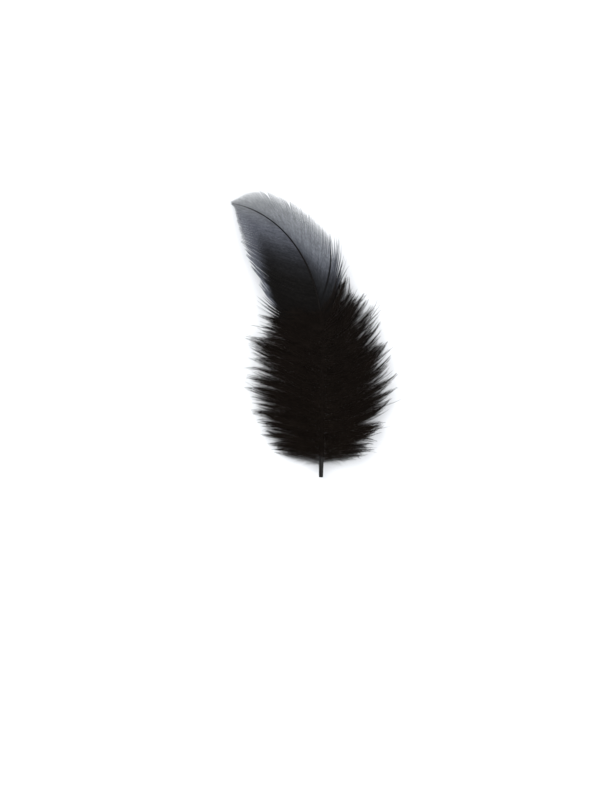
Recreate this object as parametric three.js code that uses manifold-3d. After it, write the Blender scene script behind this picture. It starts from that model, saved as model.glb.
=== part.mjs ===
// A rooster body feather lying flat: a curved shaft with a bare quill end, a thin vane half on each
// side of the tip, and locks of down around the lower shaft.
// Millimetres, +Z up, +Y towards the tip. The origin is under the middle of the feather.

import * as THREE from 'three';
import { mergeVertices } from 'three/addons/utils/BufferGeometryUtils.js';
import Module from 'manifold-3d';

const LEFT = 1;
const RIGHT = -1;
const DEGREE = Math.PI / 180;

// Shaft: straight from the quill end, then bending to the left up to the tip
const QUILL_END = { x: 2.5, y: -40.6 };
const SHAFT_LENGTH = 90;
const STRAIGHT_LENGTH = 30;
const QUILL_HEADING = 89;
const TIP_TURN = 79.8;
const TURN_EASE = 1.7;
const SHAFT_STEPS = 30;
const SHAFT_SIDES = 8;
const SHAFT_RADII = [[0, 0.62], [4, 0.68], [14, 0.62], [40, 0.45], [66, 0.28], [90, 0.12]];

// Height of the shaft's centre over the surface the feather lies on
const SHAFT_TOP = 7.2;
const SHAFT_TOP_STATION = 36;
const QUILL_HEIGHT = 2.4;
const TIP_HEIGHT = 1.2;

// Vane barbs by station along the shaft: [station, length, leaving angle, ending angle]
const VANE_START = { left: 43, right: 42 };
const LEFT_BARBS = [
  [43, 18.6, 74, 33], [50, 22, 74, 28], [56, 21.9, 63, 30], [61, 19.8, 51, 37], [66, 17.4, 41, 39],
  [72, 14.2, 33, 34], [78, 10.1, 24, 26], [84, 5.2, 14, 18], [90, 0.6, 8, 10],
];
const RIGHT_BARBS = [
  [42, 20.5, 31, 10], [48, 19.8, 32, 12], [54, 17.4, 29, 15], [60, 16.4, 24, 16], [66, 15.3, 22, 12],
  [72, 14.2, 20, 6], [78, 10.2, 20, 7], [84, 5.2, 28, 9], [90, 0.8, 30, 8],
];
const VANE_COLUMNS = 38;
const VANE_ROWS = 6;
const VANE_THICKNESS = 0.5;
// How far the vane's middle lies under the shaft's, so that the shaft stands proud of it
const VANE_DROP = 0.12;
const BARB_RIDGE = 0.3;
const BARB_TOOTH = 0.5;
const VANE_CAMBER = 1.4;
const CAMBER_REACH = 18;
const RIGHT_SPLITS = [59, 65, 71];
const SPLIT_WIDTH = 1.1;
const SPLIT_DEPTH = 1.8;

// Down locks by station along the shaft: [station, length, leaving angle, ending angle]
const LEFT_DOWN = [
  [3, 11.5, 62, 112], [8, 18, 66, 92], [14, 21.5, 72, 76], [20, 23.5, 76, 65], [28, 23.8, 79, 56],
  [36, 20.5, 80, 52], [42, 16, 86, 45], [46, 13.5, 95, 38],
];
const RIGHT_DOWN = [
  [3, 10, 68, 112], [8, 17, 74, 84], [14, 20.8, 86, 62], [20, 23, 87, 49], [28, 23.4, 83, 38],
  [36, 19, 78, 31], [42, 14.5, 66, 24], [46, 13, 44, 16],
];
const DOWN_START = 4;
const DOWN_END = 45.5;

// Layers of locks from the surface up: how many a side, how far their roots are moved along the
// shaft in lock spacings, their reach, and the height of their middles and ends
const LOCK_LAYERS = [
  { count: 9, stagger: 0, reach: 0.9, midHeight: 1.6, endHeight: 1.0 },
  { count: 9, stagger: 0.5, reach: 1, midHeight: 4.8, endHeight: 4.0 },
  { count: 9, stagger: 0.1, reach: 0.88, midHeight: 9.1, endHeight: 6.8 },
];
// Share of those heights that the locks at the quill end keep, where the shaft comes down
const LOW_SHARE = 0.55;
const LOCK_WIDTH = 3.1;
const LOCK_DEPTH = 2.2;
const LOCK_SIDES = 6;
const LOCK_SWELL = [[0, 0.7], [0.3, 1], [0.6, 0.9], [0.85, 0.5]];
const LOCK_JITTER = 0.1;

// Interpolates the rows of a table that starts each row with its key
function keyed(rows, key) {
  let i = 1;
  while (i < rows.length - 1 && key > rows[i][0]) i += 1;
  const [before, after] = [rows[i - 1], rows[i]];
  const share = THREE.MathUtils.clamp((key - before[0]) / (after[0] - before[0]), 0, 1);
  return before.slice(1).map((value, n) => value + (after[n + 1] - value) * share);
}

// Direction of the shaft at a station, in radians from +X
function shaftHeading(station) {
  const bend = Math.max(0, (station - STRAIGHT_LENGTH) / (SHAFT_LENGTH - STRAIGHT_LENGTH));
  return (QUILL_HEADING + TIP_TURN * bend ** TURN_EASE) * DEGREE;
}

// Height of the shaft's centre: low at both ends, arched between them
function shaftHeight(station) {
  const rising = station < SHAFT_TOP_STATION;
  const span = rising ? SHAFT_TOP_STATION : SHAFT_LENGTH - SHAFT_TOP_STATION;
  const endHeight = rising ? QUILL_HEIGHT : TIP_HEIGHT;
  return SHAFT_TOP - (SHAFT_TOP - endHeight) * ((station - SHAFT_TOP_STATION) / span) ** 2;
}

// Centre of the shaft at a station, found by following its heading from the quill end
function shaftPoint(station) {
  const point = new THREE.Vector3(QUILL_END.x, QUILL_END.y, shaftHeight(station));
  const steps = Math.max(1, Math.ceil(station / 0.5));
  for (let i = 0; i < steps; i += 1) {
    const heading = shaftHeading((station * (i + 0.5)) / steps);
    point.x += (Math.cos(heading) * station) / steps;
    point.y += (Math.sin(heading) * station) / steps;
  }
  return point;
}

// Point on a barb, from its root on the shaft (reach 0) to its end (reach 1), in plan
function barbPoint(table, side, station, reach, scale = 1) {
  const [length, leaving, ending] = keyed(table, station);
  const root = shaftPoint(station);
  const start = shaftHeading(station) + side * leaving * DEGREE;
  const end = shaftHeading(station) + side * ending * DEGREE;
  const half = (length * scale) / 2;
  const bend = new THREE.Vector3(root.x + half * Math.cos(start), root.y + half * Math.sin(start), 0);
  const tip = new THREE.Vector3(bend.x + half * Math.cos(end), bend.y + half * Math.sin(end), 0);
  const curve = new THREE.QuadraticBezierCurve3(root.setZ(0), bend, tip);
  return curve.getPoint(reach);
}

// Closed solid through rings of points, with a point or a flat cap at its far end
function solidFromRings(rings, tip) {
  const sides = rings[0].length;
  const points = rings.flat();
  const faces = [];
  const startCentre = points.push(ringCentre(rings[0])) - 1;
  const endCentre = points.push(tip ?? ringCentre(rings[rings.length - 1])) - 1;
  const lastRing = (rings.length - 1) * sides;
  for (let k = 0; k < sides; k += 1) {
    const next = (k + 1) % sides;
    faces.push([startCentre, next, k]);
    faces.push([lastRing + k, lastRing + next, endCentre]);
    for (let i = 0; i < lastRing; i += sides) {
      faces.push([i + k, i + next, i + sides + next]);
      faces.push([i + k, i + sides + next, i + sides + k]);
    }
  }
  return geometryFrom(points, faces);
}

function ringCentre(ring) {
  const centre = new THREE.Vector3();
  ring.forEach((point) => centre.add(point));
  return centre.divideScalar(ring.length);
}

function geometryFrom(points, faces) {
  const geometry = new THREE.BufferGeometry();
  const positions = points.flatMap((point) => [point.x, point.y, point.z]);
  geometry.setAttribute('position', new THREE.Float32BufferAttribute(positions, 3));
  geometry.setIndex(faces.flat());
  return geometry;
}

// Ring around a centre, square to the direction, with its width level
function ringAround(centre, direction, width, depth, sides) {
  const across = new THREE.Vector3(0, 0, 1).cross(direction).normalize();
  const up = new THREE.Vector3().crossVectors(direction, across).normalize();
  return Array.from({ length: sides }, (_, k) => {
    const angle = (2 * Math.PI * k) / sides;
    return centre.clone()
      .addScaledVector(across, width * Math.cos(angle))
      .addScaledVector(up, depth * Math.sin(angle));
  });
}

// Tapering shaft from the cut quill end to the tip
function shaft() {
  const rings = [];
  for (let i = 0; i <= SHAFT_STEPS; i += 1) {
    const station = (SHAFT_LENGTH * i) / SHAFT_STEPS;
    const [radius] = keyed(SHAFT_RADII, station);
    const ahead = shaftPoint(station + 0.1);
    const direction = ahead.sub(shaftPoint(station)).normalize();
    rings.push(ringAround(shaftPoint(station), direction, radius, radius, SHAFT_SIDES));
  }
  return solidFromRings(rings);
}

// Height of a vane: just under the shaft's, less the droop of its cambered edges
function vaneHeight(station, distance) {
  return shaftHeight(station) - VANE_DROP - VANE_CAMBER * (distance / CAMBER_REACH) ** 2;
}

// Length of a barb against its full length: every second barb a little short, splits shorter
function barbScale(table, side, station, column) {
  const [length] = keyed(table, station);
  const tooth = column % 2 ? BARB_TOOTH : 0;
  const split = side === RIGHT && RIGHT_SPLITS.some((at) => Math.abs(station - at) < SPLIT_WIDTH / 2);
  return Math.max(0.3, 1 - (tooth + (split ? SPLIT_DEPTH : 0)) / length);
}

// One half of the vane: a thin cambered plate with a ridge along every second barb
function vane(table, side, start) {
  const top = [];
  const bottom = [];
  for (let column = 0; column <= VANE_COLUMNS; column += 1) {
    const station = start + ((SHAFT_LENGTH - start) * column) / VANE_COLUMNS;
    const scale = barbScale(table, side, station, column);
    const [length] = keyed(table, station);
    for (let row = 0; row <= VANE_ROWS; row += 1) {
      const reach = row / VANE_ROWS;
      const point = barbPoint(table, side, station, reach, scale);
      const height = vaneHeight(station, reach * length * scale);
      const thickness = row === VANE_ROWS ? 0 : VANE_THICKNESS;
      const ridge = row === VANE_ROWS || column % 2 ? 0 : BARB_RIDGE;
      top.push(point.clone().setZ(height + thickness / 2 + ridge));
      bottom.push(point.clone().setZ(height - thickness / 2));
    }
  }
  return plate(top, bottom, side);
}

// Closed plate from its top and bottom grids, which meet along the last row
function plate(top, bottom, side) {
  const count = top.length;
  const across = VANE_ROWS + 1;
  const faces = [];
  const quad = (a, b, c, d) => faces.push([a, b, c], [a, c, d]);
  for (let column = 0; column < VANE_COLUMNS; column += 1) {
    const here = column * across;
    const next = here + across;
    quad(next, here, here + count, next + count);
    for (let row = 0; row < VANE_ROWS; row += 1) {
      quad(here + row, next + row, next + row + 1, here + row + 1);
      quad(here + row + count, here + row + 1 + count, next + row + 1 + count, next + row + count);
    }
  }
  const last = VANE_COLUMNS * across;
  for (let row = 0; row < VANE_ROWS; row += 1) {
    quad(row, row + 1, row + 1 + count, row + count);
    quad(last + row + 1, last + row, last + row + count, last + row + 1 + count);
  }
  const turned = side === LEFT ? faces : faces.map(([a, b, c]) => [a, c, b]);
  return geometryFrom([...top, ...bottom], turned);
}

// Small repeatable variation between -1 and 1
function variation(seed) {
  const wave = Math.sin(seed * 127.1) * 43758.5453;
  return 2 * (wave - Math.floor(wave)) - 1;
}

// Centre of a lock at a reach: it curves from the shaft through its layer's middle and end heights
function lockPoint(table, side, station, layer, scale, reach) {
  const point = barbPoint(table, side, station, reach, scale);
  const rootHeight = shaftHeight(station);
  const share = LOW_SHARE + ((1 - LOW_SHARE) * rootHeight) / SHAFT_TOP;
  const fromRoot = rootHeight * (1 - reach) * (1 - 2 * reach);
  const fromMiddle = share * layer.midHeight * 4 * reach * (1 - reach);
  const fromEnd = share * layer.endHeight * reach * (2 * reach - 1);
  return point.setZ(fromRoot + fromMiddle + fromEnd);
}

// One pointed lock of down
function lock(table, side, station, layer, scale) {
  const rings = LOCK_SWELL.map(([reach, swell]) => {
    const centre = lockPoint(table, side, station, layer, scale, reach);
    const ahead = lockPoint(table, side, station, layer, scale, reach + 0.02);
    const direction = ahead.sub(centre).normalize();
    return ringAround(centre, direction, LOCK_WIDTH * swell, LOCK_DEPTH * swell, LOCK_SIDES);
  });
  return solidFromRings(rings, lockPoint(table, side, station, layer, scale, 1));
}

// All the locks, layer by layer, the layers' roots staggered along the shaft
function downLocks() {
  const locks = [];
  for (const [n, layer] of LOCK_LAYERS.entries()) {
    for (let i = 0; i < layer.count; i += 1) {
      for (const [table, side] of [[LEFT_DOWN, LEFT], [RIGHT_DOWN, RIGHT]]) {
        const seed = 1 + i + 20 * n + 100 * side;
        const place = (i + 0.25 + layer.stagger + 0.15 * variation(seed)) / layer.count;
        const station = DOWN_START + (DOWN_END - DOWN_START) * place;
        const scale = layer.reach * (1 + LOCK_JITTER * variation(seed + 0.5));
        locks.push(lock(table, side, station, layer, scale));
      }
    }
  }
  return locks;
}

// Block under the surface, which the lowest locks are cut off by so that they lie flat
function blockBelow() {
  const block = new THREE.BoxGeometry(200, 200, 20);
  block.translate(0, 0, -10);
  return block;
}

function toSolid(wasm, geometry) {
  geometry.deleteAttribute('normal');
  geometry.deleteAttribute('uv');
  const merged = mergeVertices(geometry, 1e-5);
  return new wasm.Manifold(new wasm.Mesh({
    numProp: 3,
    vertProperties: new Float32Array(merged.attributes.position.array),
    triVerts: new Uint32Array(merged.index.array),
  }));
}

// Triangles of the outer surface, without the walls of sealed gaps between the locks
function outerTriangles(triangles, vertexCount) {
  const parent = Array.from({ length: vertexCount }, (_, i) => i);
  const rootOf = (i) => {
    let root = i;
    while (parent[root] !== root) root = parent[root];
    parent[i] = root;
    return root;
  };
  for (let i = 0; i < triangles.length; i += 3) {
    parent[rootOf(triangles[i + 1])] = rootOf(triangles[i]);
    parent[rootOf(triangles[i + 2])] = rootOf(triangles[i]);
  }
  const shells = new Map();
  for (let i = 0; i < triangles.length; i += 3) {
    const root = rootOf(triangles[i]);
    const shell = shells.get(root) ?? shells.set(root, []).get(root);
    shell.push(triangles[i], triangles[i + 1], triangles[i + 2]);
  }
  return [...shells.values()].sort((a, b) => b.length - a.length)[0];
}

function toGeometry(solid) {
  const mesh = solid.getMesh();
  const geometry = new THREE.BufferGeometry();
  geometry.setAttribute('position', new THREE.BufferAttribute(mesh.vertProperties, 3));
  geometry.setIndex(outerTriangles(mesh.triVerts, mesh.numVert));
  geometry.computeVertexNormals();
  return geometry;
}

async function feather() {
  const wasm = await Module();
  wasm.setup();
  const growths = [
    vane(LEFT_BARBS, LEFT, VANE_START.left),
    vane(RIGHT_BARBS, RIGHT, VANE_START.right),
    ...downLocks(),
  ];
  let solid = toSolid(wasm, shaft());
  for (const growth of growths) {
    solid = solid.add(toSolid(wasm, growth));
  }
  solid = solid.subtract(toSolid(wasm, blockBelow()));
  const black = new THREE.MeshStandardMaterial({ color: 0x17130f, roughness: 0.8, metalness: 0 });
  const mesh = new THREE.Mesh(toGeometry(solid), black);
  mesh.name = 'feather';
  return mesh;
}

const group = new THREE.Group();
group.add(await feather());

export default group;
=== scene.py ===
"""A rooster body feather on a pale table: dark quill and shaft, thin grey vane at the tip, black down.

Lengths are millimetres. A station is a place on the shaft, counted from the quill end. A reach is a
place on a barb, from its root (0) to its end (1).
"""

import math
from collections import namedtuple

import bpy
import numpy as np
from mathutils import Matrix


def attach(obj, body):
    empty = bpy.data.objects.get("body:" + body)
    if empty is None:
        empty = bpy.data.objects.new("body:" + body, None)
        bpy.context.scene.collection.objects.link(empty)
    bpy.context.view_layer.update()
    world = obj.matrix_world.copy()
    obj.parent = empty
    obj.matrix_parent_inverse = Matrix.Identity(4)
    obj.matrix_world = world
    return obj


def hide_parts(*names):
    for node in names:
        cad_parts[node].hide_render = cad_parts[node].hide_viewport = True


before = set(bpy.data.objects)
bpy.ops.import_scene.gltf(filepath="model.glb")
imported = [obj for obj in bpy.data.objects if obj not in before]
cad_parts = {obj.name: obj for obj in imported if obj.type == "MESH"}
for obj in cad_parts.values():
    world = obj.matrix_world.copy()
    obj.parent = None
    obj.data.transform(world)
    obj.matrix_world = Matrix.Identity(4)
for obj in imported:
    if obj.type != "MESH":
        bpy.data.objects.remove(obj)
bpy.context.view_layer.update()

MM = 0.001
LEFT, RIGHT = 1, -1
UP = np.array([0.0, 0.0, 1.0])

# Shaft: straight from the quill end, then bending to the left up to the tip
QUILL_END = (2.5, -40.6)
SHAFT_LENGTH = 90.0
STRAIGHT_LENGTH = 30.0
QUILL_HEADING = 89.0
TIP_TURN = 79.8
TURN_EASE = 1.7
SHAFT_RADII = [(0, 0.62), (4, 0.68), (14, 0.62), (40, 0.40), (55, 0.27), (66, 0.21), (84, 0.18), (90, 0.09)]
SHAFT_SIDES = 14
SHAFT_RINGS = 150
RING_CROWDING = 1.15
SHAFT_STEPS = 1800

# Height of the shaft's centre over the table
SHAFT_TOP = 7.2
SHAFT_TOP_STATION = 36.0
QUILL_HEIGHT = 2.4
TIP_HEIGHT = 1.2

# Hollow in the quill's cut end
QUILL_HOLLOW_DEPTH = 1.6
QUILL_WALL = 0.16
HOLLOW_TAPER = 0.8

# Vane barbs: (station, length, leaving angle, ending angle)
VANE_BARBS = {
    LEFT: [
        (40, 18.3, 72, 56), (43, 18, 74, 35), (50, 22, 74, 28), (56, 21.9, 63, 30), (61, 19.8, 51, 37),
        (66, 17.4, 41, 39), (72, 14.2, 33, 34), (78, 10.1, 24, 26), (84, 5.2, 14, 18), (90, 0.6, 8, 10),
    ],
    RIGHT: [
        (42, 20.5, 31, 10), (48, 19.8, 32, 12), (54, 17.4, 29, 15), (60, 16.4, 24, 16), (66, 15.3, 22, 12),
        (72, 14.2, 20, 6), (78, 10.2, 20, 7), (84, 5.2, 28, 9), (90, 0.8, 30, 8),
    ],
}
VANE_START = {LEFT: 40.2, RIGHT: 42.0}
VANE_END_GAP = 0.3
VANE_CAMBER = 1.4
CAMBER_REACH = 18.0
BARB_SPACING = 0.32
BARB_POINTS = 18
BARB_GIRTH = (0.032, 0.010)
BARB_SIDES = 3

# How much longer than the table says the lowest vane barbs are, by station
LOW_STRETCH = [(47, 0.12), (52, 0.0)]

# Reach at which a vane barb's barbules start to come undone, by station, and how soon they are all loose
LOOSE_FROM = {
    LEFT: [(40, 0.55), (43, 0.82), (50, 0.88), (58, 0.84), (63, 0.86), (67, 1.0)],
    RIGHT: [(42, 0.42), (45, 0.52), (47.5, 0.65), (50, 0.85), (55, 1.0)],
}
LOOSE_FADE = {LEFT: 0.3, RIGHT: 0.45}

# Unevenness of the vane barbs: of all lengths and of the loose ones', of their lean in degrees, and how
# far the loose ends stray aside and up, from the reach where straying starts
VANE_SEED = 11
LENGTH_NOISE = 0.01
LOOSE_LENGTH_NOISE = 0.035
LEAN_NOISE = 0.3
BARB_ASIDE = 0.05
BARB_STRAY = {LEFT: 0.06, RIGHT: 0.10}
BARB_RISE = 0.25
STRAY_FROM = 0.62
STRAY_EASE = 1.5

# Splits at the vane's edge: (station, opening between the barbs' ends, depth as a share of the barb)
VANE_SPLITS = {
    LEFT: [(52.5, 0.25, 0.25), (60.8, 0.16, 0.7), (63.3, 0.14, 0.7)],
    RIGHT: [(59.2, 0.7, 0.16), (65.0, 0.85, 0.2), (71.0, 0.9, 0.22), (73.2, 0.6, 0.24)],
}
SPLIT_FADE = 0.9
SPLIT_EASE = 1.3

# Barbs that have drawn together: (station, half width, pull, lean towards the shaft, stretch)
VANE_CLUMPS = {
    LEFT: [(46.9, 3.0, 0.8, 10, 1.1)],
    RIGHT: [(48.7, 1.5, 1.0, 8, 0.98), (42.5, 1.0, 1.0, -16, 0.95), (44.0, 0.9, 1.0, -9, 0.98)],
}
CLUMP_CORE = 1.2
CLUMP_EASE = 1.5
CLUMP_BEND = 1.8

# Web of hooked barbules that joins a barb to the next one: how uneven its width is, and by reach the
# share of the space between two barbs that it closes
WEB_SPREAD = (0.94, 1.12)
WEB_COVER = {
    LEFT: [(0.0, 1.12), (0.62, 1.05), (0.75, 0.97), (0.85, 0.92), (0.95, 0.8), (1.0, 0.4)],
    RIGHT: [(0.0, 1.12), (0.55, 1.05), (0.65, 0.95), (0.75, 0.85), (0.85, 0.68), (0.95, 0.4), (1.0, 0.1)],
}
WEB_LEAST_GAP = 0.03
WEB_WIDEST_GAP = {LEFT: 0.46, RIGHT: 0.42}
WEB_UNDONE = 0.85
WEB_FLATNESS = 0.06
WEB_TILT = 9.0
WEB_SIDES = 4

# Sizes of the vane's barbules, in metres and radians, their length by reach, and how much shorter and
# thinner they are where they are loose
VANE_BARBULES = {
    "Barbule Spacing": 0.15 * MM,
    "Barbule Length": 0.42 * MM,
    "Barbule Width": 0.03 * MM,
    "Barbule Flatness": 0.5,
    "Barbule Angle": math.radians(48),
    "Angle Spread": math.radians(5),
    "Roll Spread": math.radians(8),
    "Length Spread": 0.12,
    "Table Gap": 0.2 * MM,
}
VANE_PUFF = [(0, 1.0), (0.6, 1.0), (0.85, 0.6), (1, 0.2)]
LOOSE_SHORTENING = 0.6
LOOSE_NARROWING = 0.3

# Down barbs: (station, length, leaving angle, ending angle)
DOWN_BARBS = {
    LEFT: [
        (3, 11.5, 66, 108), (8, 18, 70, 88), (14, 21.5, 68, 80), (20, 23.5, 62, 79), (28, 23.8, 57, 78),
        (36, 20.1, 58, 74), (42, 15.8, 70, 61), (46, 13.8, 88, 45),
    ],
    RIGHT: [
        (3, 10, 68, 112), (8, 17, 74, 84), (14, 20.8, 86, 62), (20, 23, 87, 49), (28, 23.4, 83, 38),
        (36, 19.5, 78, 31), (42, 16.9, 66, 24), (46, 16.2, 46, 14),
    ],
}
DOWN_SEED = 101
DOWN_START = 4.0
DOWN_END = 45.5
DOWN_PAST_END = 1.0
DOWN_BARBS_A_SIDE = 112
DOWN_BARB_POINTS = 16
DOWN_BARB_GIRTH = (0.05, 0.02)

# Layers of tufts from the table up. The stagger is in tuft spacings, and middle and end are the heights
# of a tuft's middle and end. LOW_SHARE of those heights stays where the shaft comes down to the table.
Layer = namedtuple("Layer", "name tufts stagger reach middle end over_shaft")
DOWN_LAYERS = [
    Layer("down_low", 9, 0.0, 0.9, 1.6, 1.0, False),
    Layer("down_middle", 9, 0.5, 1.0, 4.6, 3.8, False),
    Layer("down_high", 9, 0.1, 0.88, 7.4, 5.8, True),
]
LOW_SHARE = 0.55
TUFT_OFFSET = 0.25
TUFT_JITTER = 0.2
TUFT_STRETCH = (0.97, 1.06)
TUFT_LEAN = 5.0
TUFT_LIFT = 0.35

# Top layer's barbs lie over the shaft: where they start, and how far they reach across it and above it
OVER_SHAFT_START = 2.0
OVER_SHAFT_FADE = 3.0
OVER_SHAFT_WIDTH = (0.1, 0.9)
OVER_SHAFT_RISE = (0.6, 0.85)

# Spikes, each made by a few barbs of a tuft
SPIKES_A_SIDE = 38
SPIKE_JITTER = 0.3
SPIKE_STRETCH = (0.93, 1.05)
SPIKE_LEAN = 6.0
SPIKE_BOW = 5.0
SPIKE_HOLD = (0.15, 0.6)

# Single down barbs: how long they are next to their spike and how firmly it holds them. Some stray.
BARB_JITTER = 0.25
SPIKE_CHOICE_JITTER = 0.4
STRAY_SHARE = 0.15
STRAY_PUFF = 0.4
GATHERED_STRETCH = (0.9, 1.03)
GATHERED_HOLD = (0.75, 0.98)
STRAY_STRETCH = (0.9, 1.1)
STRAY_HOLD = (0.0, 0.2)
GATHER_EASE = 1.5

# Unevenness of the down barbs: lean and bow in degrees, waves aside, heights of the middle and the end,
# roll and twist in radians, and length of the barbules
DOWN_LEAN = 6.0
DOWN_BOW = 6.0
DOWN_WAVE = 0.22
DOWN_WAVE_ANGLES = (5, 9)
DOWN_WAVE_STARTS = (0, 6)
DOWN_SAG = 0.5
DOWN_RISE = 0.4
DOWN_ROLL = 0.5
DOWN_TWIST = 0.5
DOWN_FULLNESS = (0.8, 1.15)

# Where the down is loose and curled at its edge: (station, half width), and what that does to a barb
LOOSE_DOWN = {LEFT: (44.5, 4.0), RIGHT: (35.5, 4.5)}
LOOSE_STRETCH = 0.14
LOOSE_RELEASE = 0.35
LOOSE_CURL = 5.0
LOOSE_THINNING = 0.45
LOOSE_THIN_FROM = 0.4
LOOSE_THIN_FADE = 0.25

# Sizes of the down's barbules, in metres and radians, and by reach their length, width and angle
DOWN_BARBULES = {
    "Barbule Spacing": 0.2 * MM,
    "Barbule Length": 3.0 * MM,
    "Barbule Width": 0.062 * MM,
    "Barbule Flatness": 0.7,
    "Barbule Angle": math.radians(40),
    "Angle Spread": math.radians(14),
    "Roll Spread": math.radians(62),
    "Length Spread": 0.3,
    "Table Gap": 0.4 * MM,
}
DOWN_PUFF = [(0, 0.45), (0.12, 0.8), (0.42, 1.0), (0.7, 0.85), (0.85, 0.6), (0.94, 0.28), (1, 0.1)]
DOWN_BREADTH = [(0, 1.15), (0.6, 1.0), (1, 0.6)]
DOWN_OPENING = [(0, 1.3), (0.45, 1.05), (0.65, 0.6), (0.85, 0.34), (1, 0.2)]

# Colours as the light they reflect, by station. The black near the down is the barbs' own; the greys
# towards the tip are partly their own and partly painted light, the pale table seen through the thin vane
# put into the barbs' colour. Towards a barb's end they move on by TONE_REACH stations.
VANE_TONES = {
    LEFT: [
        (44, (0.0055, 0.0047, 0.0042)), (55, (0.0078, 0.0072, 0.0068)), (60, (0.0165, 0.0165, 0.0180)),
        (64, (0.0370, 0.0385, 0.0450)), (68, (0.079, 0.083, 0.098)), (72, (0.115, 0.121, 0.143)),
        (78, (0.170, 0.178, 0.198)), (86, (0.262, 0.270, 0.282)),
    ],
    RIGHT: [
        (44, (0.0053, 0.0046, 0.0042)), (54, (0.0100, 0.0098, 0.0104)), (60, (0.0205, 0.0213, 0.0236)),
        (65, (0.046, 0.048, 0.056)), (69, (0.096, 0.102, 0.118)), (74, (0.156, 0.165, 0.186)),
        (84, (0.232, 0.242, 0.260)), (96, (0.300, 0.310, 0.322)), (112, (0.410, 0.420, 0.430)),
    ],
}
DOWN_TONES = [(0, (0.0105, 0.0072, 0.0052)), (48, (0.0115, 0.0085, 0.0068))]
TONE_REACH = {LEFT: 0.0, RIGHT: 37.0}
TONE_SPAN = 140.0

# Roughness and sheen of the barbs, how strong their streaks are, and the noises that make the streaks:
# the number of waves across and along the map, and the detail. The streaks are tone from barb to barb; on
# the vane their lighter lines also stand in for glints along the barbs: painted highlights.
VANE_FINISH = (0.65, 0.045)
DOWN_FINISH = (0.8, 0.04)
VANE_STREAKS_AND_GLINTS = 0.30
DOWN_STREAKS = 0.35
LONG_STREAKS = ((170, 4, 1), 3.0)
SHORT_PATCHES = ((200, 26, 1), 2.0)
NOISE_RANGE = (0.3, 0.7)

# The left side's barb ends take the colours of a higher station, given below: painted light, a lighter tone
# that stands in for the table seen through their loose ends. The middle of a clump takes its colours from
# as many stations lower as CLUMP_SHADE says
FRINGE_PAINTED_LIGHT_TONE = 74.0
FRINGE_FROM = 0.62
FRINGE_FADE = 0.25
CLUMP_SHADE = {LEFT: 0.0, RIGHT: 32.0}
CLUMP_SHADE_FROM = 0.6
CLUMP_SHADE_FADE = 0.25

# Map that the barbs' materials read: the length of shaft across it, the part of its height in use, and
# how far a cross-section spreads on it
MAP_LENGTH = SHAFT_LENGTH * 1.04
MAP_RISE = 0.96
MAP_FOOT = 0.02
MAP_SPREAD = (0.002, 0.004, 0.004)

# Horn of the quill: its colours and grain, its roughness and sheen where it is bare and where barbs
# cover it, and how far up from the quill end the bare part ends and the covered part starts
HORN_DARK = (0.0030, 0.0027, 0.0026)
HORN_LIGHT = (0.0100, 0.0085, 0.0078)
HORN_GRAIN = ((3000, 250, 3000), 2.0)
HORN_BARE_FINISH = (0.22, 0.2)
HORN_COVERED_FINISH = (0.75, 0.05)
BARE_QUILL = 6.5
COVERED_QUILL = 9.0

# View from straight above: its middle, its length from top to bottom at VIEW_PLANE over the table, and
# the lens
VIEW_MIDDLE = (-3.5, -18.6)
VIEW_LENGTH = 228.0
VIEW_PLANE = 5.0
LENS = 85.0
SENSOR = 36.0

# Table top in metres, and the light on it
TABLE_HALF = 3.0
PAPER_COLOUR = (0.9, 0.905, 0.915)
PAPER_FINISH = (0.9, 0.1)
SKY_COLOUR = (0.93, 0.96, 1.0)
SKY_STRENGTH = 0.75
# Lamps: (name, place in metres, turn in degrees, size in metres, power)
LAMPS = [
    ("key", (-0.5, 0.45, 0.9), (-38, -32, 0), 0.9, 9.0),
    ("fill", (0.6, -0.2, 0.9), (12, 34, 0), 0.9, 5.0),
]


def keyed(table, places):
    """Columns of a table after its first, read at places between the values of its first."""
    rows = np.array(table, float)
    return [np.interp(places, rows[:, 0], rows[:, n]) for n in range(1, rows.shape[1])]


def read(table, places):
    """The one column of a table of pairs, read at the places."""
    return keyed(table, places)[0]


def shaft_heading(stations):
    """Direction of the shaft in radians from +X."""
    bend = np.clip((stations - STRAIGHT_LENGTH) / (SHAFT_LENGTH - STRAIGHT_LENGTH), 0, None)
    return np.radians(QUILL_HEADING + TIP_TURN * bend**TURN_EASE)


def shaft_height(stations):
    """Height of the shaft's centre: low at both ends, arched between them."""
    rising = stations < SHAFT_TOP_STATION
    span = np.where(rising, SHAFT_TOP_STATION, SHAFT_LENGTH - SHAFT_TOP_STATION)
    end = np.where(rising, QUILL_HEIGHT, TIP_HEIGHT)
    return SHAFT_TOP - (SHAFT_TOP - end) * ((stations - SHAFT_TOP_STATION) / span) ** 2


def shaft_plan(stations):
    """Places of the shaft's centre in plan, found by following its heading from the quill end."""
    fine = np.linspace(0, SHAFT_LENGTH, SHAFT_STEPS + 1)
    step = fine[1] - fine[0]
    middle = shaft_heading((fine[1:] + fine[:-1]) / 2)
    x = QUILL_END[0] + np.concatenate([[0], np.cumsum(np.cos(middle) * step)])
    y = QUILL_END[1] + np.concatenate([[0], np.cumsum(np.sin(middle) * step)])
    return np.interp(stations, fine, x), np.interp(stations, fine, y)


def barb_plan(table, side, station, reach, scale=1.0, lean=0.0, bow=0.0):
    """Plan of one barb: a curve that leaves the shaft and ends at the table's angles."""
    length, leaving, ending = keyed(table, station)
    heading = shaft_heading(np.float64(station))
    start = heading + side * np.radians(leaving + bow)
    end = heading + side * np.radians(ending + lean - bow)
    half = length * scale / 2
    root = np.array(shaft_plan(station))
    bend = root + half * np.array([np.cos(start), np.sin(start)])
    tip = bend + half * np.array([np.cos(end), np.sin(end)])
    u = reach[:, None]
    return (1 - u) ** 2 * root + 2 * u * (1 - u) * bend + u**2 * tip


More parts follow.
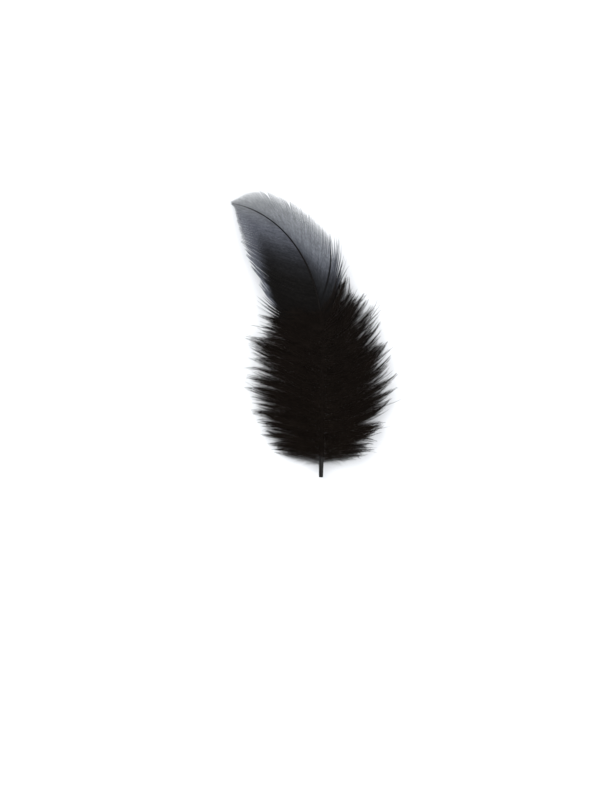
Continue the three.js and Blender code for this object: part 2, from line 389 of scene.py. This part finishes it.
def unit(vectors):
    """The vectors at length 1."""
    return vectors / np.linalg.norm(vectors, axis=1)[:, None]


def tipward(plan, side):
    """Unit directions across a barb, towards the shaft's tip."""
    along = unit(np.gradient(plan, axis=0))
    return side * np.column_stack([along[:, 1], -along[:, 0]])


def tapered(girth, reach):
    """Thickness of a barb in metres, from its root to its end."""
    return (girth[0] + (girth[1] - girth[0]) * reach) * MM


def drawn_together(side, station, reach, scale, lean):
    """A vane barb's plan, pulled towards the clump that it belongs to, and how near it lies to it."""
    plan = barb_plan(VANE_BARBS[side], side, station, reach, scale, lean)
    closeness = 0.0
    for centre, half_width, pull, clump_lean, stretch in VANE_CLUMPS[side]:
        near = 1 - abs(station - centre) / half_width
        if near > 0:
            line = barb_plan(VANE_BARBS[side], side, centre, reach, stretch, -clump_lean)
            share = (pull * min(1.0, CLUMP_CORE * near) ** CLUMP_EASE * reach**CLUMP_BEND)[:, None]
            plan = plan * (1 - share) + line * share
            closeness = max(closeness, near)
    return plan, closeness


def parted(plan, side, station, reach):
    """A vane barb's plan, moved aside by the splits next to it."""
    shift = np.zeros_like(reach)
    for place, opening, depth in VANE_SPLITS[side]:
        gap = station - place
        outer = np.clip((reach - 1 + depth) / depth, 0, 1) ** SPLIT_EASE
        shift += math.copysign(opening / 2, gap) * math.exp(-abs(gap) / SPLIT_FADE) * outer
    return plan + shift[:, None] * tipward(plan, side)


def looseness(side, station, reach):
    """How far a vane barb's barbules have come undone: the outer ends near the down hang loose."""
    return np.clip((reach - read(LOOSE_FROM[side], station)) / LOOSE_FADE[side], 0, 1)


def tone_shift(side, station, reach, near_clump):
    """Stations by which a vane barb's colours move: the left fringe is lighter, painted light for the table
    seen through its loose ends, and a clump darker.
    """
    # Painted light: the left fringe is made lighter to stand for the table seen through the loose barb ends
    light = max(0.0, FRINGE_PAINTED_LIGHT_TONE - station) if side == LEFT else 0.0
    fringe = light * np.clip((reach - FRINGE_FROM) / FRINGE_FADE, 0, 1)
    core = np.clip((near_clump - CLUMP_SHADE_FROM) / CLUMP_SHADE_FADE, 0, 1)
    return fringe - CLUMP_SHADE[side] * reach * core


def vane_plans(rng, side, stations, reach):
    """Plans of one side's vane barbs, and the shifts of their tones."""
    plans, shifts = [], []
    for station in stations:
        loose = looseness(side, station, reach).max()
        noise = rng.normal(0, LENGTH_NOISE + LOOSE_LENGTH_NOISE * loose)
        scale = 1 + noise + read(LOW_STRETCH, station)
        plan, near = drawn_together(side, station, reach, scale, rng.normal(0, LEAN_NOISE))
        plan = parted(plan, side, station, reach)
        outer = np.clip((reach - STRAY_FROM) / (1 - STRAY_FROM), 0, 1) ** STRAY_EASE
        aside = rng.normal(BARB_ASIDE, BARB_STRAY[side]) * loose * outer
        plans.append(plan + aside[:, None] * tipward(plan, side))
        shifts.append(tone_shift(side, station, reach, near))
    return plans, shifts


def web_half_width(side, plans, number, reach, loose):
    """Half the width of the web along a barb, from the gap to the barbs next to it."""
    plan = plans[number]
    neighbours = [plans[k] for k in (number - 1, number + 1) if 0 <= k < len(plans)]
    gaps = [np.abs(((other - plan) * tipward(plan, side)).sum(axis=1)) for other in neighbours]
    gap = np.clip(np.max(gaps, axis=0), WEB_LEAST_GAP, WEB_WIDEST_GAP[side])
    return 0.5 * gap * read(WEB_COVER[side], reach) * (1 - WEB_UNDONE * loose) * MM


def vane_strands(side):
    """Centre lines of one side's vane barbs, with what the tree reads on their points."""
    rng = np.random.default_rng(VANE_SEED + side)
    reach = np.linspace(0, 1, BARB_POINTS)
    stations = np.arange(VANE_START[side], SHAFT_LENGTH - VANE_END_GAP, BARB_SPACING)
    plans, shifts = vane_plans(rng, side, stations, reach)
    strands = []
    for n, station in enumerate(stations):
        loose = looseness(side, station, reach)
        length = keyed(VANE_BARBS[side], station)[0]
        z = shaft_height(station) - VANE_CAMBER * (reach * length / CAMBER_REACH) ** 2
        z = z + loose.max() * rng.normal(0, BARB_RISE) * reach**2
        strands.append(
            {
                "points": np.column_stack([plans[n], z]) * MM,
                "up": np.tile(UP, (BARB_POINTS, 1)),
                "tone station": station + shifts[n],
                "reach": reach,
                "girth": tapered(BARB_GIRTH, reach),
                "web": rng.uniform(*WEB_SPREAD) * web_half_width(side, plans, n, reach, loose),
                "puff": (1 - LOOSE_SHORTENING * loose) * read(VANE_PUFF, reach),
                "breadth": 1 - LOOSE_NARROWING * loose,
                "opening": np.ones(BARB_POINTS),
            }
        )
    return strands


# A line of down as barb_plan takes it, a tuft, and a spike: its own line, its tuft's, and how firmly the
# tuft holds it
Line = namedtuple("Line", "side station stretch lean bow")
Tuft = namedtuple("Tuft", "station stretch lean lift")
Spike = namedtuple("Spike", "station stretch lift own tuft hold")


def down_plan(line, reach):
    """Plan of a down line."""
    return barb_plan(DOWN_BARBS[line.side], line.side, line.station, reach, *line[2:])


def gathered(own, target, hold, reach):
    """A line's plan, drawn to another line more and more towards its end."""
    pull = (hold * reach**GATHER_EASE)[:, None]
    return own * (1 - pull) + target * pull


def nearest(things, station):
    """The tuft or spike whose station is nearest."""
    return min(things, key=lambda thing: abs(thing.station - station))


def tufts_of_side(rng, layer):
    """Tufts on one side of a layer."""
    count = layer.tufts
    jitter = rng.uniform(-TUFT_JITTER, TUFT_JITTER, count)
    places = (np.arange(count) + TUFT_OFFSET + layer.stagger + jitter) / count
    stations = DOWN_START + (DOWN_END - DOWN_START) * places
    stretches = rng.uniform(*TUFT_STRETCH, count)
    rows = zip(stations, stretches, rng.normal(0, TUFT_LEAN, count), rng.normal(0, TUFT_LIFT, count))
    return [Tuft(*row) for row in rows]


def spikes_of_side(rng, side, layer, tufts):
    """Small pointed spikes, each gathered loosely into the nearest tuft."""
    even = np.linspace(DOWN_START, DOWN_END + DOWN_PAST_END, SPIKES_A_SIDE)
    spikes = []
    for station in even + rng.normal(0, SPIKE_JITTER, SPIKES_A_SIDE):
        tuft = nearest(tufts, station)
        stretch = layer.reach * tuft.stretch * rng.uniform(*SPIKE_STRETCH)
        own = Line(side, station, stretch, rng.normal(0, SPIKE_LEAN), rng.normal(0, SPIKE_BOW))
        towards = Line(side, tuft.station, stretch, tuft.lean, 0.0)
        spikes.append(Spike(station, stretch, tuft.lift, own, towards, rng.uniform(*SPIKE_HOLD)))
    return spikes


def tuft_height(station, layer, reach):
    """Height of a tuft's line: from the shaft through its layer's middle and end heights."""
    root = shaft_height(station)
    share = LOW_SHARE + (1 - LOW_SHARE) * root / SHAFT_TOP
    from_root = root * (1 - reach) * (1 - 2 * reach)
    from_middle = share * layer.middle * 4 * reach * (1 - reach)
    from_end = share * layer.end * reach * (2 * reach - 1)
    return from_root + from_middle + from_end


def down_looseness(side, station):
    """How loose and curled a down barb is."""
    centre, half_width = LOOSE_DOWN[side]
    return max(0.0, 1 - abs(station - centre) / half_width)


def barb_in_spike(rng, side, station, spike, stray, loose, reach):
    """Plan of a down barb: its own line, drawn to its spike's and made wavy."""
    hold = rng.uniform(*(STRAY_HOLD if stray else GATHERED_HOLD)) * (1 - LOOSE_RELEASE * loose)
    share = rng.uniform(*(STRAY_STRETCH if stray else GATHERED_STRETCH)) * (1 + LOOSE_STRETCH * loose)
    line = Line(side, station, spike.stretch * share, rng.normal(0, DOWN_LEAN), rng.normal(0, DOWN_BOW))
    part = reach * share
    target = gathered(down_plan(spike.own, part), down_plan(spike.tuft, part), spike.hold, part)
    plan = gathered(down_plan(line, reach), target, hold, reach)
    swing = rng.normal(0, DOWN_WAVE) * (1 + LOOSE_CURL * loose)
    wave = swing * np.sin(reach * rng.uniform(*DOWN_WAVE_ANGLES) + rng.uniform(*DOWN_WAVE_STARTS)) * reach
    return plan + wave[:, None] * tipward(plan, side)


def down_strand(rng, side, layer, station, spike):
    """Centre line of one down barb, with what the tree reads on its points."""
    reach = np.linspace(0, 1, DOWN_BARB_POINTS)
    stray = rng.random() < STRAY_SHARE
    loose = down_looseness(side, station)
    plan = barb_in_spike(rng, side, station, spike, stray, loose, reach)
    z = tuft_height(station, layer, reach) + spike.lift * reach
    z = z + rng.normal(0, DOWN_SAG) * np.sin(np.pi * reach) + rng.normal(0, DOWN_RISE) * reach**2
    if layer.over_shaft:
        fall = np.clip(1 - OVER_SHAFT_FADE * reach, 0, 1) ** 2
        plan = plan + (rng.uniform(*OVER_SHAFT_WIDTH) * fall)[:, None] * crossing(station, side)
        z = z + rng.uniform(*OVER_SHAFT_RISE) * fall
    roll = rng.uniform(-DOWN_ROLL, DOWN_ROLL) + rng.normal(0, DOWN_TWIST) * reach
    across = np.column_stack([tipward(plan, side), np.zeros(DOWN_BARB_POINTS)])
    outer = np.clip((reach - LOOSE_THIN_FROM) / LOOSE_THIN_FADE, 0, 1)
    thinner = 1 - LOOSE_THINNING * loose * outer
    fullness = rng.uniform(*DOWN_FULLNESS) * (STRAY_PUFF if stray else 1.0)
    return {
        "points": np.column_stack([plan, z]) * MM,
        "up": across * np.sin(roll)[:, None] + UP * np.cos(roll)[:, None],
        "tone station": np.full(DOWN_BARB_POINTS, station),
        "reach": reach,
        "girth": tapered(DOWN_BARB_GIRTH, reach),
        "web": np.zeros(DOWN_BARB_POINTS),
        "puff": read(DOWN_PUFF, reach) * fullness * thinner,
        "breadth": read(DOWN_BREADTH, reach),
        "opening": read(DOWN_OPENING, reach),
    }


def crossing(station, side):
    """Unit direction in plan from one side of the shaft to the other, over its top."""
    heading = shaft_heading(np.float64(station))
    return side * np.array([math.sin(heading), -math.cos(heading)])


def down_strands(number, layer):
    """Centre lines of one layer's down barbs: even along the shaft, drawn together in spikes."""
    rng = np.random.default_rng(DOWN_SEED + number)
    first = DOWN_START + (OVER_SHAFT_START if layer.over_shaft else 0.0)
    strands = []
    for side in (LEFT, RIGHT):
        spikes = spikes_of_side(rng, side, layer, tufts_of_side(rng, layer))
        for even in np.linspace(first, DOWN_END + DOWN_PAST_END, DOWN_BARBS_A_SIDE):
            station = even + rng.normal(0, BARB_JITTER)
            spike = nearest(spikes, station + rng.normal(0, SPIKE_CHOICE_JITTER))
            strands.append(down_strand(rng, side, layer, station, spike))
    return strands


def placed(name, data):
    """Object in the scene for a mesh, a camera or a light."""
    obj = bpy.data.objects.new(name, data)
    bpy.context.scene.collection.objects.link(obj)
    return obj


def lines_object(name, strands):
    """Object whose mesh is the strands' centre lines as edges, with their values on the points."""
    points = np.concatenate([strand["points"] for strand in strands])
    edges, first = [], 0
    for strand in strands:
        last = first + len(strand["points"]) - 1
        edges += [(i, i + 1) for i in range(first, last)]
        first = last + 1
    mesh = bpy.data.meshes.new(name)
    mesh.from_pydata(points.tolist(), edges, [])
    for key in ("tone station", "reach", "girth", "web", "puff", "breadth", "opening"):
        values = np.concatenate([strand[key] for strand in strands]).astype(np.float32)
        mesh.attributes.new(key, "FLOAT", "POINT").data.foreach_set("value", values)
    up = np.concatenate([strand["up"] for strand in strands]).astype(np.float32)
    mesh.attributes.new("up", "FLOAT_VECTOR", "POINT").data.foreach_set("vector", up.ravel())
    return placed(name, mesh)


class Nodes:
    """A node tree under construction. Where a value is asked for, a node stands for its first output."""

    def __init__(self, tree):
        self.tree = tree

    def add(self, kind, inputs=None, **settings):
        """New node with its settings and what goes into its inputs."""
        node = self.tree.nodes.new(kind)
        for key, value in settings.items():
            setattr(node, key, value)
        for key, value in (inputs or {}).items():
            self.plug(node.inputs[key], value)
        return node

    def plug(self, socket, value):
        """Links a socket or a node to the input, or sets it to a constant."""
        if isinstance(value, bpy.types.Node):
            value = value.outputs[0]
        if isinstance(value, bpy.types.NodeSocket):
            self.tree.links.new(value, socket)
        else:
            socket.default_value = value

    def math(self, operation, *values):
        return self.add("ShaderNodeMath", dict(enumerate(values)), operation=operation)

    def vector(self, operation, a, b=None):
        node = self.add("ShaderNodeVectorMath", {0: a}, operation=operation)
        if b is not None:
            self.plug(node.inputs["Scale" if operation == "SCALE" else 1], b)
        return node

    def ramp(self, place, stops):
        """Colour ramp with the stops given, each a position and a colour."""
        node = self.add("ShaderNodeValToRGB", {"Fac": place})
        elements = node.color_ramp.elements
        while len(elements) < len(stops):
            elements.new(0.5)
        for element, (position, _) in zip(elements, stops):
            element.position = position
        for element, (_, colour) in zip(elements, stops):
            element.color = (*colour, 1)
        return node

    def noise(self, place, stretch, detail):
        """Noise at the place, with the number of its waves in each direction."""
        stretched = self.add("ShaderNodeMapping", {"Vector": place, "Scale": stretch})
        return self.add("ShaderNodeTexNoise", {"Vector": stretched, "Scale": 1.0, "Detail": detail})

    def ranged(self, value, low, high, first, last):
        """The value, taken from the range low to high to the range first to last."""
        limits = {"From Min": low, "From Max": high, "To Min": first, "To Max": last}
        return self.add("ShaderNodeMapRange", {"Value": value, **limits})


class StrandTree(Nodes):
    """A Geometry Nodes tree that turns centre lines into barbs, with its sizes as inputs."""

    def __init__(self, name, sizes):
        super().__init__(bpy.data.node_groups.new(name, "GeometryNodeTree"))
        face = self.tree.interface
        face.new_socket("Geometry", in_out="INPUT", socket_type="NodeSocketGeometry")
        for label, value in sizes.items():
            face.new_socket(label, in_out="INPUT", socket_type="NodeSocketFloat").default_value = value
        face.new_socket("Material", in_out="INPUT", socket_type="NodeSocketMaterial")
        face.new_socket("Geometry", in_out="OUTPUT", socket_type="NodeSocketGeometry")
        self.sizes = sizes
        self.given = self.add("NodeGroupInput")

    def size(self, label):
        """One of the tree's inputs."""
        return self.given.outputs[label]

    def stored(self, name, kind="FLOAT"):
        """Value stored on the points of the lines, or on what was made from them."""
        return self.add("GeometryNodeInputNamedAttribute", {"Name": name}, data_type=kind)

    def store(self, geometry, name, value, kind, **settings):
        """The geometry with the value stored on it."""
        inputs = {"Geometry": geometry, "Name": name, "Value": value}
        return self.add("GeometryNodeStoreNamedAttribute", inputs, data_type=kind, **settings)

    def with_spots(self, geometry):
        """The geometry with its points' places in it stored, for the map."""
        return self.store(geometry, "spot", self.add("GeometryNodeInputPosition"), "FLOAT_VECTOR")

    def ring(self, corners):
        """Outline of the strands' cross-section."""
        inputs = {"Resolution": corners, "Radius": 1.0}
        return self.add("GeometryNodeCurvePrimitiveCircle", inputs, mode="RADIUS").outputs["Curve"]

    def swept(self, lines, outline, width):
        """Closed strips along the lines, as wide as the value stored on their points."""
        inputs = {"Curve": lines, "Profile Curve": outline, "Scale": self.stored(width), "Fill Caps": True}
        return self.add("GeometryNodeCurveToMesh", inputs)

    def chance(self, low, high, seed):
        """Random number from low to high for each point."""
        node = self.add("FunctionNodeRandomValue", {"Seed": seed}, data_type="FLOAT")
        lowest, highest = [socket for socket in node.inputs if socket.type == "VALUE"][:2]
        self.plug(lowest, low)
        self.plug(highest, high)
        return next(socket for socket in node.outputs if socket.type == "VALUE")

    def either_way(self, spread, seed):
        """Random number up to the spread, either way from zero."""
        return self.chance(self.math("MULTIPLY", spread, -1.0), spread, seed)

    def dress(self, obj, material):
        """Puts the tree on the lines, and makes them the plain mesh that it gives."""
        modifier = obj.modifiers.new(self.tree.name, "NODES")
        modifier.node_group = self.tree
        values = {**self.sizes, "Material": material}
        for item in self.tree.interface.items_tree:
            if item.in_out == "INPUT" and item.name in values:
                modifier[item.identifier] = values[item.name]
        shaped = obj.evaluated_get(bpy.context.evaluated_depsgraph_get())
        mesh = bpy.data.meshes.new_from_object(shaped)
        mesh.name = obj.name
        obj.modifiers.clear()
        lines = obj.data
        obj.data = mesh
        bpy.data.meshes.remove(lines)
        return obj


def strand_tree(name, sizes, seed, webbed=False):
    """Tree that turns centre lines into barbs with a row of barbules on each side."""
    t = StrandTree(name, sizes)
    lines = t.add("GeometryNodeMeshToCurve", {"Mesh": t.size("Geometry")})
    parts = [t.swept(lines, t.with_spots(t.ring(BARB_SIDES)), "girth")]
    if webbed:
        parts.append(barb_web(t, lines))
    spacing = {"Curve": lines, "Length": t.size("Barbule Spacing")}
    points = t.add("GeometryNodeResampleCurve", spacing, mode="LENGTH")
    parts += [barbule_row(t, points, side, seed + 10 * n) for n, side in enumerate((1, -1))]
    joined = t.add("GeometryNodeJoinGeometry")
    for part in parts:
        t.plug(joined.inputs[0], part)
    solid = t.add("GeometryNodeRealizeInstances", {"Geometry": joined})
    mapped = map_strands(t, over_table(t, solid))
    done = t.add("GeometryNodeSetMaterial", {"Geometry": mapped, "Material": t.size("Material")})
    t.add("NodeGroupOutput", {"Geometry": done})
    return t


def barb_web(t, lines):
    """Thin flat strip along each barb, tilted a little so that the strips lap like roof tiles."""
    level = t.add("GeometryNodeSetCurveNormal", {"Curve": lines}, mode="Z_UP")
    flat = {"Scale": (1.0, WEB_FLATNESS, 1.0), "Rotation": (0.0, 0.0, math.radians(WEB_TILT))}
    outline = t.add("GeometryNodeTransform", {"Geometry": t.ring(WEB_SIDES), **flat})
    return t.swept(level, t.with_spots(outline), "web")


def barbule_turn(t, side, seed):
    """How a barbule is turned: out from the barb on its side, and leaning towards the barb's end."""
    along = t.add("GeometryNodeInputTangent")
    up = t.vector("NORMALIZE", t.stored("up", "FLOAT_VECTOR"))
    across = t.vector("SCALE", t.vector("NORMALIZE", t.vector("CROSS_PRODUCT", up, along)), float(side))
    roll = t.either_way(t.size("Roll Spread"), seed)
    outward = t.vector(
        "ADD",
        t.vector("SCALE", across, t.math("COSINE", roll)),
        t.vector("SCALE", up, t.math("SINE", roll)),
    )
    usual = t.math("MULTIPLY", t.size("Barbule Angle"), t.stored("opening"))
    angle = t.math("ADD", usual, t.either_way(t.size("Angle Spread"), seed + 1))
    direction = t.vector(
        "ADD",
        t.vector("SCALE", along, t.math("COSINE", angle)),
        t.vector("SCALE", outward, t.math("SINE", angle)),
    )
    flat_side = t.vector("SCALE", t.vector("CROSS_PRODUCT", along, outward), float(side))
    return t.add(
        "FunctionNodeAxesToRotation",
        {"Primary Axis": direction, "Secondary Axis": flat_side},
        primary_axis="Z",
        secondary_axis="Y",
    )


def barbule_size(t, seed):
    """Width, thickness and length of a barbule."""
    uneven = t.size("Length Spread")
    share = t.chance(t.math("SUBTRACT", 1.0, uneven), t.math("ADD", 1.0, uneven), seed)
    length = t.math("MULTIPLY", t.math("MULTIPLY", t.size("Barbule Length"), share), t.stored("puff"))
    width = t.math("MULTIPLY", t.size("Barbule Width"), t.stored("breadth"))
    thickness = t.math("MULTIPLY", t.size("Barbule Width"), t.size("Barbule Flatness"))
    return t.add("ShaderNodeCombineXYZ", {"X": width, "Y": thickness, "Z": length})


def barbule_row(t, points, side, seed):
    """Barbules on one side of the barbs, each a tapered needle."""
    needle = t.add(
        "GeometryNodeMeshCone",
        {"Vertices": 3, "Side Segments": 1, "Radius Top": 0.0, "Radius Bottom": 0.5, "Depth": 1.0},
        fill_type="NGON",
    )
    turn, size = barbule_turn(t, side, seed), barbule_size(t, seed + 2)
    return t.add(
        "GeometryNodeInstanceOnPoints",
        {"Points": points, "Instance": t.with_spots(needle), "Rotation": turn, "Scale": size},
    )


def over_table(t, geometry):
    """Presses what would reach through the table into the thin gap above it."""
    parts = t.add("ShaderNodeSeparateXYZ", {0: t.add("GeometryNodeInputPosition")})
    gap = t.size("Table Gap")
    ratio = t.math("DIVIDE", t.math("SUBTRACT", parts.outputs["Z"], gap), gap)
    pressed = t.math("MULTIPLY", gap, t.math("EXPONENT", t.math("MINIMUM", ratio, 0.0)))
    height = t.math("MAXIMUM", parts.outputs["Z"], pressed)
    place = {"X": parts.outputs["X"], "Y": parts.outputs["Y"], "Z": height}
    position = t.add("ShaderNodeCombineXYZ", place)
    return t.add("GeometryNodeSetPosition", {"Geometry": geometry, "Position": position})


def map_strands(t, geometry):
    """Lays the strands on a map of tone station across and reach up, each face with some width."""
    spot = t.add("ShaderNodeSeparateXYZ", {0: t.stored("spot", "FLOAT_VECTOR")})
    side_spread, up_spread, long_spread = (
        t.math("MULTIPLY", spot.outputs[axis], spread) for axis, spread in zip("XYZ", MAP_SPREAD)
    )
    across = t.math("DIVIDE", t.stored("tone station"), MAP_LENGTH)
    across = t.math("ADD", t.math("ADD", across, side_spread), long_spread)
    raised = t.math("ADD", t.math("MULTIPLY", t.stored("reach"), MAP_RISE), MAP_FOOT)
    raised = t.math("ADD", raised, up_spread)
    place = t.add("ShaderNodeCombineXYZ", {"X": across, "Y": raised})
    return t.store(geometry, "OFBake", place, "FLOAT2", domain="CORNER")


def principled(name, colour, finish):
    """New material, its shader and its nodes. The finish is its roughness and sheen."""
    material = bpy.data.materials.new(name)
    material.use_nodes = True
    shader = material.node_tree.nodes["Principled BSDF"]
    shader.inputs["Base Color"].default_value = (*colour, 1)
    shader.inputs["Roughness"].default_value = finish[0]
    shader.inputs["Specular IOR Level"].default_value = finish[1]
    return material, shader, Nodes(material.node_tree)


def strand_material(name, tones, tone_reach, streaks, finish):
    """Barb material: its colour changes along the feather, with streaks and patches from barb to barb. On
    the vane the lighter streaks are partly painted highlights.
    """
    material, shader, t = principled(name, tones[0][1], finish)
    place = t.add("ShaderNodeUVMap", uv_map="OFBake")
    parts = t.add("ShaderNodeSeparateXYZ", {0: place})
    along = t.math("MULTIPLY", parts.outputs["X"], MAP_LENGTH / TONE_SPAN)
    onward = t.math("MULTIPLY_ADD", parts.outputs["Y"], tone_reach / TONE_SPAN, along)
    colour = t.ramp(onward, [(station / TONE_SPAN, tone) for station, tone in tones])
    # On the vane the lighter streaks are partly painted highlights, glints along the barbs
    limits = (*NOISE_RANGE, 1 - streaks, 1 + streaks)
    long_streaks = t.ranged(t.noise(place, *LONG_STREAKS), *limits)
    short_patches = t.ranged(t.noise(place, *SHORT_PATCHES), *limits)
    shade = t.vector("SCALE", colour, t.math("MULTIPLY", long_streaks, short_patches))
    t.plug(shader.inputs["Base Color"], shade)
    return material


def quill_material():
    """Dark horn: glossy at the bare quill, dull where the barbs start."""
    material, shader, t = principled("quill_horn", HORN_LIGHT, HORN_BARE_FINISH)
    place = t.add("ShaderNodeTexCoord").outputs["Object"]
    grain = t.ramp(t.noise(place, *HORN_GRAIN), [(0.0, HORN_DARK), (1.0, HORN_LIGHT)])
    t.plug(shader.inputs["Base Color"], grain)
    parts = t.add("ShaderNodeSeparateXYZ", {0: place})
    bare_end = (QUILL_END[1] + BARE_QUILL) * MM
    covered_start = (QUILL_END[1] + COVERED_QUILL) * MM
    labels = ("Roughness", "Specular IOR Level")
    for label, bare, covered in zip(labels, HORN_BARE_FINISH, HORN_COVERED_FINISH):
        change = t.ranged(parts.outputs["Y"], bare_end, covered_start, bare, covered)
        t.plug(shader.inputs[label], change)
    return material


def shaft_ring(centre, across, up, radius):
    """Points around the shaft."""
    angles = np.linspace(0, 2 * np.pi, SHAFT_SIDES, endpoint=False)[:, None]
    return centre + radius * (np.cos(angles) * across + np.sin(angles) * up)


def shaft_piece(material):
    """Quill and shaft in one: a tapering rod, hollow at the cut quill end."""
    stations = SHAFT_LENGTH * np.linspace(0, 1, SHAFT_RINGS) ** RING_CROWDING
    radii = read(SHAFT_RADII, stations)
    centres = np.column_stack([*shaft_plan(stations), shaft_height(stations)])
    along = unit(np.gradient(centres, axis=0))
    across = unit(np.cross(UP, along))
    up = np.cross(along, across)
    hollow_radius = radii[0] - QUILL_WALL
    hollow_floor = centres[0] + along[0] * QUILL_HOLLOW_DEPTH
    rings = [
        shaft_ring(hollow_floor, across[0], up[0], hollow_radius * HOLLOW_TAPER),
        shaft_ring(centres[0], across[0], up[0], hollow_radius),
    ]
    rings += [shaft_ring(*row) for row in zip(centres, across, up, radii)]
    last = (len(rings) - 1) * SHAFT_SIDES
    faces = [tuple(reversed(range(SHAFT_SIDES))), tuple(range(last, last + SHAFT_SIDES))]
    for first in range(0, last, SHAFT_SIDES):
        for k in range(SHAFT_SIDES):
            a = first + k
            b = first + (k + 1) % SHAFT_SIDES
            faces.append((a, b, b + SHAFT_SIDES, a + SHAFT_SIDES))
    mesh = bpy.data.meshes.new("shaft")
    mesh.from_pydata((np.concatenate(rings) * MM).tolist(), [], faces)
    mesh.materials.append(material)
    mesh.shade_smooth()
    return placed("shaft", mesh)


def vane_pieces():
    """The two halves of the vane."""
    tree = strand_tree("Vane barbs", VANE_BARBULES, seed=3, webbed=True)
    pieces = []
    for name, side in (("vane_left", LEFT), ("vane_right", RIGHT)):
        tones, tone_reach = VANE_TONES[side], TONE_REACH[side]
        # The vane's greys are partly painted light: the table seen through the thin vane, put into the
        # colour
        grey = strand_material(name + "_barbs", tones, tone_reach, VANE_STREAKS_AND_GLINTS, VANE_FINISH)
        pieces.append(tree.dress(lines_object(name, vane_strands(side)), grey))
    return pieces


def down_pieces():
    """The layers of down, from the table up."""
    tree = strand_tree("Down barbs", DOWN_BARBULES, seed=5)
    black = strand_material("down_barbs", DOWN_TONES, 0.0, DOWN_STREAKS, DOWN_FINISH)
    pieces = []
    for number, layer in enumerate(DOWN_LAYERS):
        pieces.append(tree.dress(lines_object(layer.name, down_strands(number, layer)), black))
    return pieces


def feather():
    """All the pieces, each in place of the feather's solid."""
    slots = {
        "quill": [shaft_piece(quill_material())],
        "vane": vane_pieces(),
        "feather": down_pieces(),
    }
    for slot, pieces in slots.items():
        for piece in pieces:
            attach(piece, "root")
            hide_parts("feather")


def camera_over_table():
    """Camera that looks straight down."""
    data = bpy.data.cameras.new("camera")
    data.lens = LENS
    data.sensor_width = SENSOR
    data.clip_start = 0.01
    camera = placed("camera", data)
    distance = VIEW_LENGTH * LENS / SENSOR
    camera.location = (VIEW_MIDDLE[0] * MM, VIEW_MIDDLE[1] * MM, (distance + VIEW_PLANE) * MM)
    bpy.context.scene.camera = camera


def table_top():
    """White paper under the feather."""
    corners = [(x * TABLE_HALF, y * TABLE_HALF, 0) for x, y in ((-1, -1), (1, -1), (1, 1), (-1, 1))]
    mesh = bpy.data.meshes.new("table_top")
    mesh.from_pydata(corners, [], [(0, 1, 2, 3)])
    mesh.materials.append(principled("white_paper", PAPER_COLOUR, PAPER_FINISH)[0])
    placed("table_top", mesh)


def soft_light():
    """Pale sky and two soft lamps."""
    world = bpy.data.worlds.new("studio")
    bpy.context.scene.world = world
    world.use_nodes = True
    sky = world.node_tree.nodes["Background"]
    sky.inputs["Color"].default_value = (*SKY_COLOUR, 1)
    sky.inputs["Strength"].default_value = SKY_STRENGTH
    for name, place, turn, size, power in LAMPS:
        data = bpy.data.lights.new(name, "AREA")
        data.size = size
        data.energy = power
        light = placed(name, data)
        light.location = place
        light.rotation_euler = [math.radians(angle) for angle in turn]
    bpy.context.scene.view_settings.view_transform = "Standard"


camera_over_table()
table_top()
soft_light()
feather()
